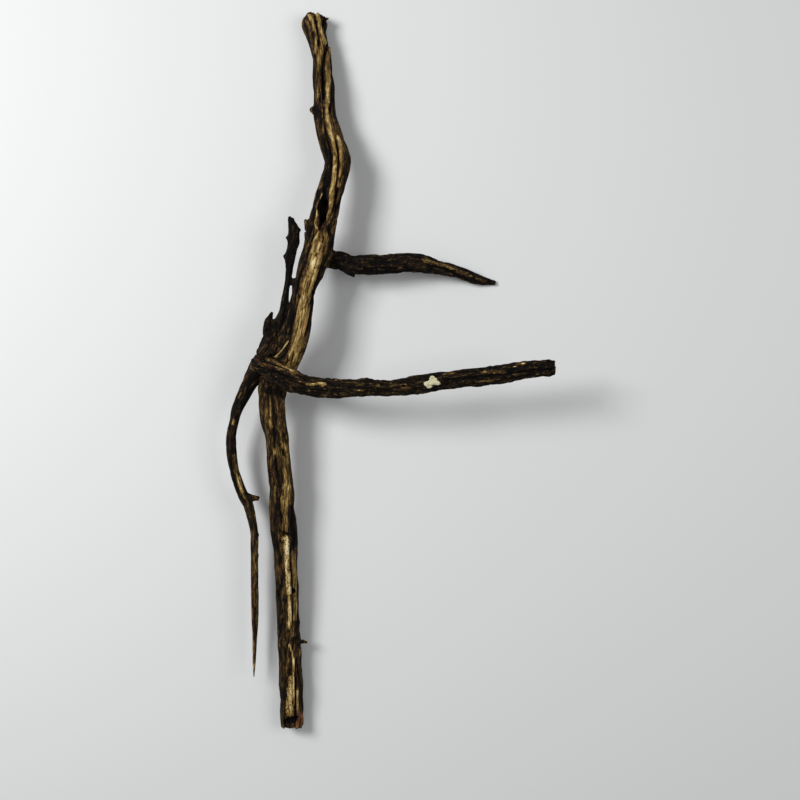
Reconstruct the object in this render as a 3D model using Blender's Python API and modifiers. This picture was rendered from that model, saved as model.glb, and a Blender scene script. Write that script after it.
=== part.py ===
"""Spiderwood root: one bare, weathered piece of root wood, lying on its back.

It has a long stem with two bends, a broken stub beside it, two side branches and a thin hanging
root. +Y runs along the stem to its crown, +X to the side of the branches and +Z up. The origin is
under the middle of the whole piece, on the surface that it lies on.
"""

import math

import bmesh
import bpy
from mathutils import Matrix, Vector

MM = 0.001

# Driving dimensions, in millimetres
RING_STEP = 4.0            # distance between two sections of a limb
PROFILE_POINTS = 28        # points round one section
WELD = 0.02                # joins a limb's end caps to its wall
VOXEL = 1.3                # grain of the remeshed wood, fine enough for the thin root
SOFTENING_STEPS = 5        # how far the crotches between the limbs are rounded
TRIANGLES_KEPT = 0.05      # share of the remeshed triangles that is kept
SWELLING = 1.6             # height of the slow swells along the grain
SWELLING_LENGTH = 60.0     # their length along the stem
SWELLING_WIDTH = 9.0       # their width across it
FLOOR_DEPTH = 20.0         # depth of the block that wears the resting flats

# Each limb's route: x, y, z and radius of the wood, from its free end or its root outwards
STEM = [
    (-70, 344, 12, 7.5),      # crown
    (-71, 336, 11, 12),
    (-70, 325, 12, 10.5),
    (-66, 310, 14, 9.3),      # neck under the crown
    (-63, 292, 17, 9.6),
    (-61, 261, 21, 9.8),
    (-59.5, 238, 24, 10.5),
    (-53.5, 217, 28, 11.4),
    (-47, 197, 32, 12.3),     # knee, where the stem turns back
    (-50.5, 178, 35, 12.1),
    (-56, 160, 38, 12.5),
    (-61, 140, 41, 12.8),
    (-64, 116, 43, 13.3),
    (-70.5, 95, 45, 12.4),
    (-76, 78, 46, 10.8),
    (-80, 60, 46, 11.2),
    (-83.5, 41, 46, 11.8),
    (-89, 22, 44, 12.8),
    (-98, 4, 41, 13.8),       # crotch where the limbs meet
    (-106.5, -13, 37, 14.0),
    (-108, -25, 35, 12.2),
    (-107, -43, 33, 12.0),
    (-104.5, -67, 30, 11.5),
    (-101.5, -100, 27, 11.7),
    (-99, -153, 22, 12.0),
    (-97, -192, 19, 11.2),
    (-95.5, -231, 16, 10.9),
    (-94.5, -270, 13, 11.3),
    (-93, -315, 11, 11.4),
    (-92, -344, 10.5, 11.0),  # foot
]
STUB = [
    (-89, 140, 44, 3.4),
    (-87, 131, 44, 5.0),
    (-87.5, 119, 44, 6.1),
    (-91, 106, 44, 5.4),
    (-91.5, 95, 44, 3.9),
    (-94, 80, 44, 3.7),
    (-95.5, 65, 44, 4.7),
    (-98.5, 50, 44, 7.0),
    (-103, 35, 44, 10.3),
    (-109, 18, 43, 12.2),
    (-115, 4, 41, 11.0),
]
SLIVER = [
    (-106.5, 53, 47, 0.8),
    (-110, 44, 46.5, 3.0),
    (-111.5, 33, 46, 4.8),
    (-110, 18, 44, 6.6),
]
LOW_BRANCH = [
    (-124.5, 6, 47, 6.0),     # knot on the far side of the stem
    (-111, 1, 52, 9.3),
    (-94, -9, 56, 10.8),
    (-78, -15, 58, 9.7),
    (-62, -18, 59, 9.0),
    (-43, -19, 60, 8.9),
    (-18, -18, 62, 8.2),
    (8, -18, 63, 7.9),
    (35, -13.5, 65, 9.0),
    (60, -10.5, 67, 8.4),
    (99, -6, 70, 9.1),
    (125, -1.5, 72, 7.9),
    (149, 0.5, 74, 7.6),
]
HIGH_BRANCH = [
    (-71, 105, 36, 10.4),
    (-56, 104.5, 33, 9.0),
    (-44, 103, 31, 8.5),
    (-33.5, 99.5, 30, 8.2),
    (-18.5, 99, 29, 9.7),
    (0.5, 99.5, 27, 9.3),
    (21.5, 102, 23, 9.5),
    (36, 101, 20, 8.8),
    (50.5, 97.5, 16.5, 6.8),
    (66, 95, 12, 5.8),
    (82, 90, 7.0, 5.7),
    (94, 87, 3.2, 4.3),
    (105.5, 85, 1.6, 2.2),    # tip, the third point that the root rests on
]
THIN_ROOT = [
    (-120, 6, 44, 6.5),
    (-126.5, -6, 40, 7.0),
    (-135, -23, 36, 6.2),
    (-143.5, -43, 33, 5.1),
    (-147.5, -59, 31, 4.4),
    (-148.5, -76, 29, 5.0),
    (-145.5, -95, 28, 4.8),
    (-140.5, -115, 27, 5.5),
    (-133, -129, 26, 5.2),
    (-129, -144, 25, 4.2),
    (-127, -160, 25, 3.9),
    (-127, -184, 24, 3.7),
    (-127, -211, 23, 4.0),
    (-127.5, -239, 22, 3.2),
    (-128, -268, 21, 2.2),
    (-128.5, -295, 20, 1.2),
]

# Each limb's cross-section: ridges as (count, height as a share of the radius, start angle), then
# how far the grain turns along the limb, in degrees per 100 mm
LIMBS = [
    ("stem", STEM, [(3, 0.07, 20), (5, 0.05, 75), (8, 0.03, 0)], 35),
    ("stub", STUB, [(2, 0.12, 0), (5, 0.06, 40)], 50),
    ("sliver", SLIVER, [(2, 0.25, 90)], 0),
    ("low_branch", LOW_BRANCH, [(3, 0.05, 0), (6, 0.04, 30)], 25),
    ("high_branch", HIGH_BRANCH, [(3, 0.07, 60), (5, 0.05, 0)], 30),
    ("thin_root", THIN_ROOT, [(2, 0.08, 0), (4, 0.05, 45)], 40),
]

# Snags: short broken twigs, as base centre, tip, base radius and tip radius
SNAGS = [
    ((-66, 334, 14), (-56.5, 340, 15), 6.0, 1.5),         # beak on the crown
    ((-71, 340, 10), (-72, 347, 11), 6.0, 3.0),           # lumps of the notched crown
    ((-65, 339, 17), (-65, 346, 18), 4.5, 2.0),
    ((-70, 244, 24), (-75, 245.5, 25), 4.5, 1.0),         # bump under the neck
    ((-78, 118, 44), (-76.5, 139, 45), 4.0, 1.4),         # sliver that splits off the stem
    ((-36, 95, 30), (-31, 88.0, 30), 4.5, 0.8),           # thorn under the high branch
    ((-18, -13, 62), (-17, -9.0, 62), 5.0, 2.5),          # lump on the low branch
    ((141, 4.5, 77), (153, 5.0, 78), 4.0, 2.4),           # splintered end of the low branch
    ((141, 1.0, 71), (154, 0.0, 71), 4.2, 2.0),
    ((141, -3.5, 75), (154, -4.0, 75), 3.6, 1.8),
    ((-133, -121, 26), (-123, -123.5, 27), 2.7, 2.0),     # side twig of the thin root
    ((-129, -158, 25), (-122.5, -158.5, 26), 2.6, 1.3),   # bud on the thin root
    ((-88, -336, 13), (-86.5, -347, 13), 6.0, 3.5),       # torn edge of the foot
    ((-97, -336, 9), (-96.5, -346.5, 8), 5.5, 2.5),
]

# Hollow in the front of the stem: middle, half sizes and turn about Z in degrees
HOLLOW_CENTRE = (-59.0, 152.0, 52.0)
HOLLOW_HALF_SIZE = (3.6, 15.0, 7.0)
HOLLOW_TURN = -14.0


def clear_scene():
    for obj in list(bpy.data.objects):
        bpy.data.objects.remove(obj, do_unlink=True)


def new_collection(name):
    collection = bpy.data.collections.new(name)
    bpy.context.scene.collection.children.link(collection)
    return collection


def between(a, b, c, d, t):
    """The point at share t from b to c, on the smooth curve through a, b, c and d."""
    return 0.5 * (2 * b + (c - a) * t + (2 * a - 5 * b + 4 * c - d) * t * t + (3 * b - a - 3 * c + d) * t ** 3)


def smooth_route(points):
    """Sections along a limb, RING_STEP apart, on the smooth curve through its points."""
    knots = [Vector(p) for p in points]
    knots = [2 * knots[0] - knots[1]] + knots + [2 * knots[-1] - knots[-2]]
    sections = []
    for a, b, c, d in zip(knots, knots[1:], knots[2:], knots[3:]):
        steps = max(1, round((c - b).xyz.length / RING_STEP))
        sections += [between(a, b, c, d, i / steps) for i in range(steps)]
    return sections + [knots[-2]]


def fluted_profile(name, ridges):
    """A closed outline of radius one, with ridges round it."""
    curve = bpy.data.curves.new(name, "CURVE")
    curve.dimensions = "2D"
    spline = curve.splines.new("POLY")
    spline.points.add(PROFILE_POINTS - 1)
    for i, point in enumerate(spline.points):
        angle = 2 * math.pi * i / PROFILE_POINTS
        radius = 1 + sum(height * math.cos(count * angle + math.radians(start)) for count, height, start in ridges)
        point.co = (radius * math.cos(angle), radius * math.sin(angle), 0, 1)
    spline.use_cyclic_u = True
    profile = bpy.data.objects.new(name, curve)
    bpy.context.scene.collection.objects.link(profile)
    return profile


def limb_mesh(name, points, ridges, turn_per_100):
    """A limb as a closed mesh: its profile swept along its route, with its own radius and turn."""
    profile = fluted_profile(name + "_profile", ridges)
    curve = bpy.data.curves.new(name, "CURVE")
    curve.dimensions = "3D"
    curve.bevel_mode = "OBJECT"
    curve.bevel_object = profile
    curve.use_fill_caps = True
    sections = smooth_route(points)
    spline = curve.splines.new("POLY")
    spline.points.add(len(sections) - 1)
    travelled = 0.0
    for i, (point, section) in enumerate(zip(spline.points, sections)):
        if i:
            travelled += (section - sections[i - 1]).xyz.length
        point.co = (section.x * MM, section.y * MM, section.z * MM, 1)
        point.radius = section.w * MM
        point.tilt = math.radians(turn_per_100 * travelled / 100)
    limb = bpy.data.objects.new(name, curve)
    bpy.context.scene.collection.objects.link(limb)
    evaluated = limb.evaluated_get(bpy.context.evaluated_depsgraph_get())
    mesh = bpy.data.meshes.new_from_object(evaluated)
    bpy.data.objects.remove(limb, do_unlink=True)
    bpy.data.objects.remove(profile, do_unlink=True)
    return mesh


def add_snag(wood, base, tip, base_radius, tip_radius):
    """A short cone from base to tip, part of the same wood."""
    base, tip = Vector(base) * MM, Vector(tip) * MM
    direction = tip - base
    place = Matrix.Translation((base + tip) / 2) @ direction.to_track_quat("Z", "Y").to_matrix().to_4x4()
    bmesh.ops.create_cone(wood, cap_ends=True, segments=10, radius1=base_radius * MM,
                          radius2=tip_radius * MM, depth=direction.length, matrix=place)


def root_wood():
    """All limbs and snags in one mesh, still as overlapping closed shapes."""
    wood = bmesh.new()
    for name, points, ridges, turn in LIMBS:
        mesh = limb_mesh(name, points, ridges, turn)
        limb = bmesh.new()
        limb.from_mesh(mesh)
        bmesh.ops.remove_doubles(limb, verts=limb.verts, dist=WELD * MM)
        bmesh.ops.recalc_face_normals(limb, faces=limb.faces)
        limb.to_mesh(mesh)
        limb.free()
        wood.from_mesh(mesh)
        bpy.data.meshes.remove(mesh)
    for snag in SNAGS:
        add_snag(wood, *snag)
    mesh = bpy.data.meshes.new("spiderwood_root")
    wood.to_mesh(mesh)
    wood.free()
    return mesh


def cutter(name, collection, centre, half_size, turn, round_shape):
    """A box or a ball that is cut out of the wood."""
    shape = bmesh.new()
    if round_shape:
        bmesh.ops.create_uvsphere(shape, u_segments=16, v_segments=12, radius=1.0)
    else:
        bmesh.ops.create_cube(shape, size=2.0)
    bmesh.ops.scale(shape, vec=Vector(half_size) * MM, verts=shape.verts)
    mesh = bpy.data.meshes.new(name)
    shape.to_mesh(mesh)
    shape.free()
    obj = bpy.data.objects.new(name, mesh)
    obj.location = Vector(centre) * MM
    obj.rotation_euler.z = math.radians(turn)
    obj.hide_render = True
    obj.display_type = "WIRE"
    collection.objects.link(obj)
    return obj


def wood_material():
    material = bpy.data.materials.new("weathered_root_wood")
    material.use_nodes = True
    shader = material.node_tree.nodes["Principled BSDF"]
    shader.inputs["Base Color"].default_value = (0.085, 0.05, 0.022, 1)
    shader.inputs["Roughness"].default_value = 0.75
    shader.inputs["Metallic"].default_value = 0.0
    return material


def add_swelling(root, collection):
    """Slow swells along the grain, stretched by the empty that carries their texture."""
    grain = bpy.data.objects.new("grain_direction", None)
    grain.scale = (SWELLING_WIDTH * MM, SWELLING_LENGTH * MM, SWELLING_WIDTH * MM)
    grain.hide_render = True
    collection.objects.link(grain)
    texture = bpy.data.textures.new("swells", "CLOUDS")
    texture.noise_scale = 1.0
    texture.noise_depth = 1
    displace = root.modifiers.new("swelling", "DISPLACE")
    displace.texture = texture
    displace.texture_coords = "OBJECT"
    displace.texture_coords_object = grain
    displace.mid_level = 0.5
    displace.strength = SWELLING * MM


def build():
    clear_scene()
    parts = new_collection("spiderwood_root")
    cutters = new_collection("cutters")
    root = bpy.data.objects.new("spiderwood_root", root_wood())
    root.data.materials.append(wood_material())
    parts.objects.link(root)

    remesh = root.modifiers.new("one_piece", "REMESH")
    remesh.mode = "VOXEL"
    remesh.voxel_size = VOXEL * MM
    soften = root.modifiers.new("rounded_crotches", "SMOOTH")
    soften.factor = 0.5
    soften.iterations = SOFTENING_STEPS
    add_swelling(root, cutters)
    reduce = root.modifiers.new("fewer_triangles", "DECIMATE")
    reduce.ratio = TRIANGLES_KEPT

    floor = cutter("floor", cutters, (0, 0, -FLOOR_DEPTH), (400, 400, FLOOR_DEPTH), 0, False)
    hollow = cutter("hollow", cutters, HOLLOW_CENTRE, HOLLOW_HALF_SIZE, HOLLOW_TURN, True)
    for tool in (floor, hollow):
        cut = root.modifiers.new("cut_" + tool.name, "BOOLEAN")
        cut.operation = "DIFFERENCE"
        cut.solver = "EXACT"
        cut.object = tool
    root.data.shade_smooth()


build()
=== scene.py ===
"""Looks of the spiderwood root: its furrowed, weathered wood, a pale floor, soft light and a camera that looks down."""

import math

import bmesh
import bpy
import numpy as np
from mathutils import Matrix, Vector


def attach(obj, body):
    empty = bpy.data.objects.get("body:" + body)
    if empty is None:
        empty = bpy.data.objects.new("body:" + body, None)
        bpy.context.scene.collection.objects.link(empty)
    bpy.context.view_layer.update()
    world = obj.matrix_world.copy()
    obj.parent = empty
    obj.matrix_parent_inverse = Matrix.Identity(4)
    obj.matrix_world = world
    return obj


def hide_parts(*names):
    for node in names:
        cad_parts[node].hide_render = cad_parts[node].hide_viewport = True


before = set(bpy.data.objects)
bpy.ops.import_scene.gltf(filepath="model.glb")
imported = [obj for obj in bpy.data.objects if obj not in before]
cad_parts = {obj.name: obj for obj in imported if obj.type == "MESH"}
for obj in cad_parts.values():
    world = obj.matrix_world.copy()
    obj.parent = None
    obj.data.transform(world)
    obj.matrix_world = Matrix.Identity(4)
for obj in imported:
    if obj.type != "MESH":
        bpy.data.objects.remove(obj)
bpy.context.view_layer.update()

MM = 0.001

# Camera, in metres: it looks straight down, so the picture's up is +Y
CAMERA_PLACE = (0.012, -0.029, 1.085)
CAMERA_LENS = 50           # focal length in millimetres on a 36 mm wide sensor

# Sizes in millimetres
RING_STEP = 2.0            # distance between two sections of a limb
RING_POINTS = 36           # points round one section
FIRST_VOXEL = 0.7          # grain of the plain wood
LAST_VOXEL = 0.5           # grain of the wood once its hollows are in
MOST_TRIANGLES = 196_000
CROTCH_REACH = 6.0         # width of the rounding where two limbs meet
FULL_RADIUS = 11.5         # a limb this thick has furrows of full depth

# Each limb's route: x, y, z and radius of the wood, as in the solid model
STEM = [
    (-70, 344, 12, 7.5),
    (-71, 336, 11, 12),
    (-70, 325, 12, 10.5),
    (-66, 310, 14, 9.3),
    (-63, 292, 17, 9.6),
    (-61, 261, 21, 9.8),
    (-59.5, 238, 24, 10.5),
    (-53.5, 217, 28, 11.4),
    (-47, 197, 32, 12.3),
    (-50.5, 178, 35, 12.1),
    (-56, 160, 38, 12.5),
    (-61, 140, 41, 12.8),
    (-64, 116, 43, 13.3),
    (-70.5, 95, 45, 12.4),
    (-76, 78, 46, 10.8),
    (-80, 60, 46, 11.2),
    (-83.5, 41, 46, 11.8),
    (-89, 22, 44, 12.8),
    (-98, 4, 41, 13.8),
    (-106.5, -13, 37, 14.0),
    (-108, -25, 35, 12.2),
    (-107, -43, 33, 12.0),
    (-104.5, -67, 30, 11.5),
    (-101.5, -100, 27, 11.7),
    (-99, -153, 22, 12.0),
    (-97, -192, 19, 11.2),
    (-95.5, -231, 16, 10.9),
    (-94.5, -270, 13, 11.3),
    (-93, -315, 11, 11.4),
    (-92, -344, 10.5, 11.0),
]
STUB = [
    (-90.4, 141, 44, 2.4),
    (-89.3, 136, 44, 3.7),
    (-88.0, 131, 44, 4.9),
    (-88.0, 120, 44, 5.3),
    (-89.3, 112.5, 44, 4.7),
    (-91.3, 105, 44, 4.9),
    (-91.3, 97, 44, 4.1),
    (-92.8, 84, 44, 3.3),
    (-94.6, 74, 44, 3.2),
    (-96.0, 64, 44, 3.9),
    (-97.0, 55, 44, 4.3),
    (-98.6, 49, 44, 4.9),
    (-100.6, 44, 44, 5.9),
    (-103.5, 37, 44, 8.6),
    (-109, 20, 43, 11.8),
    (-115, 4, 41, 11.0),
]
SLIVER = [
    (-107.4, 53.5, 47, 1.2),
    (-109.2, 49, 47, 2.3),
    (-111.0, 44, 46.5, 3.7),
    (-112.0, 36, 46, 4.3),
    (-111.4, 24, 45, 5.6),
    (-112, 12, 44, 7.0),
]
LOW_BRANCH = [
    (-124.5, 6, 47, 6.0),
    (-111, 1, 52, 9.3),
    (-94, -9, 56, 10.8),
    (-78, -15, 58, 9.7),
    (-62, -18, 59, 9.0),
    (-43, -19, 60, 8.9),
    (-18, -18, 62, 8.2),
    (8, -18, 63, 7.9),
    (35, -13.5, 65, 9.0),
    (60, -10.5, 67, 8.4),
    (99, -6, 70, 9.1),
    (125, -1.5, 72, 7.9),
    (149, 0.5, 74, 7.6),
]
HIGH_BRANCH = [
    (-71, 105, 36, 10.4),
    (-56, 104.5, 33, 9.0),
    (-44, 103, 31, 8.5),
    (-33.5, 99.5, 30, 8.2),
    (-18.5, 99, 29, 9.7),
    (0.5, 99.5, 27, 9.3),
    (21.5, 102, 23, 9.5),
    (36, 101, 20, 8.8),
    (50.5, 97.5, 16.5, 6.8),
    (66, 95, 12, 5.8),
    (82, 90, 7.0, 5.7),
    (94, 87, 3.2, 4.3),
    (105.5, 85, 1.6, 2.2),
]
THIN_ROOT = [
    (-120, 6, 44, 6.5),
    (-126.5, -6, 40, 7.0),
    (-135, -23, 36, 6.0),
    (-141.5, -37, 34, 5.4),
    (-144.5, -48, 32, 4.5),
    (-147.5, -60, 31, 4.7),
    (-148.5, -76, 29, 5.3),
    (-146, -93, 28, 4.7),
    (-142, -108, 27, 5.3),
    (-137.5, -120, 26.5, 5.4),
    (-132.5, -129, 26, 5.0),
    (-129, -144, 25, 4.3),
    (-126.8, -157, 25, 4.3),
    (-127, -179, 24, 3.8),
    (-126.8, -203, 23, 4.0),
    (-126.6, -227, 22, 3.6),
    (-127.1, -251, 21, 2.9),
    (-127.6, -274, 20.5, 2.2),
    (-128.2, -295, 20, 1.0),
]

# Name, route, the limb whose grain it shares, ridges round the section as (count, height share, start
# angle), turn of the grain in degrees per 100 mm, where its grain starts along the shared grain in
# millimetres, how much bark it still has, and the tone of its wood at its route's two ends
LIMBS = [
    ("stem", STEM, "stem", [(3, 0.05, 20), (5, 0.03, 75)], 12, 0, 0.0, (0.44, 0.38)),
    ("stub", STUB, "stem", [(2, 0.05, 0), (5, 0.04, 40)], 30, 0, 0.5, (0.14, 0.28)),
    ("sliver", SLIVER, "stem", [(2, 0.2, 90)], 0, 0, 0.4, (0.22, 0.28)),
    ("low_branch", LOW_BRANCH, "low_branch", [(3, 0.04, 0), (5, 0.03, 30)], 15, 350, 1.0, (0.30, 0.28)),
    ("high_branch", HIGH_BRANCH, "high_branch", [(3, 0.05, 60), (5, 0.04, 0)], 20, 240, 0.9, (0.18, 0.28)),
    ("thin_root", THIN_ROOT, "thin_root", [(2, 0.06, 0), (4, 0.04, 45)], 30, 350, 0.2, (0.20, 0.54)),
]

# Snags: short broken twigs and splinters, as base centre, tip, base radius and tip radius
SNAGS = [
    ((-70, 334, 13), (-70, 344.0, 13), 8.5, 4.0),
    ((-67, 335, 14), (-61.5, 340.5, 15), 6.8, 3.8),
    ((-64, 336.5, 15), (-56.6, 339.0, 15), 5.6, 1.3),
    ((-66, 250, 24), (-72.4, 246.0, 24), 5.0, 2.8),
    ((-53, 246, 24), (-49.4, 246.5, 24), 2.6, 1.6),
    ((-73.8, 118, 44), (-75.0, 140.0, 45), 3.8, 1.8),
    ((-85.3, 60, 45), (-87.3, 85.5, 46), 4.4, 1.9),
    ((-91, 138, 44), (-91.6, 143.4, 44), 2.6, 1.5),
    ((-89, 137, 44), (-88.2, 142.0, 44), 2.4, 1.3),
    ((-88, 127, 44), (-82.2, 131.8, 44), 4.0, 2.2),
    ((-89, 119, 44), (-94.6, 124.0, 45), 3.8, 1.7),
    ((-91, 102, 44), (-97.2, 107.0, 44), 4.0, 2.0),
    ((-37, 96, 30), (-31, 87.8, 30), 6.8, 1.2),
    ((-44, 98, 31), (-40, 92.8, 31), 4.0, 2.4),
    ((-22, -13, 62), (-16, -9.5, 62), 5.0, 2.4),
    ((141, 4.5, 77), (153, 5.0, 78), 4.2, 2.6),
    ((141, 1.0, 71), (154, 0.0, 71), 4.2, 2.2),
    ((141, -3.5, 75), (154, -4.0, 75), 3.8, 2.2),
    ((-137, -121.0, 26), (-129.5, -122.0, 27), 5.0, 3.4),
    ((-133, -121.3, 27), (-122.2, -122.8, 27), 3.6, 2.3),
    ((-127.5, -156.5, 25), (-122.6, -158.6, 26), 4.2, 2.2),
    ((-127, -177, 24), (-122.9, -178, 24), 4.0, 1.9),
    ((-147.5, -56, 31), (-151.6, -57, 31), 3.4, 1.8),
    ((-89, -261, 17), (-76.6, -261.6, 18), 5.6, 1.0),
    ((-88, -336, 13), (-86.5, -346.5, 13), 5.8, 3.6),
    ((-97, -336, 9), (-96.5, -345, 8), 5.3, 2.8),
]

# Hollows seen from above: path in x and y, half width and depth
HOLLOWS = [
    ([(-59.6, 155), (-59.8, 149), (-60.1, 144)], 4.9, 10.0),
    ([(-58.6, 170), (-59.4, 158)], 2.3, 3.5),
    ([(-60.3, 142), (-61.8, 135)], 2.4, 4.5),
    ([(-90.6, -212), (-90.5, -213)], 1.9, 4.0),
    ([(-99.8, -74.5), (-98.8, -79.5)], 1.5, 3.0),
    ([(-98, -341), (-93, -338.5), (-89.5, -337.5)], 2.6, 4.0),
]

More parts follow.
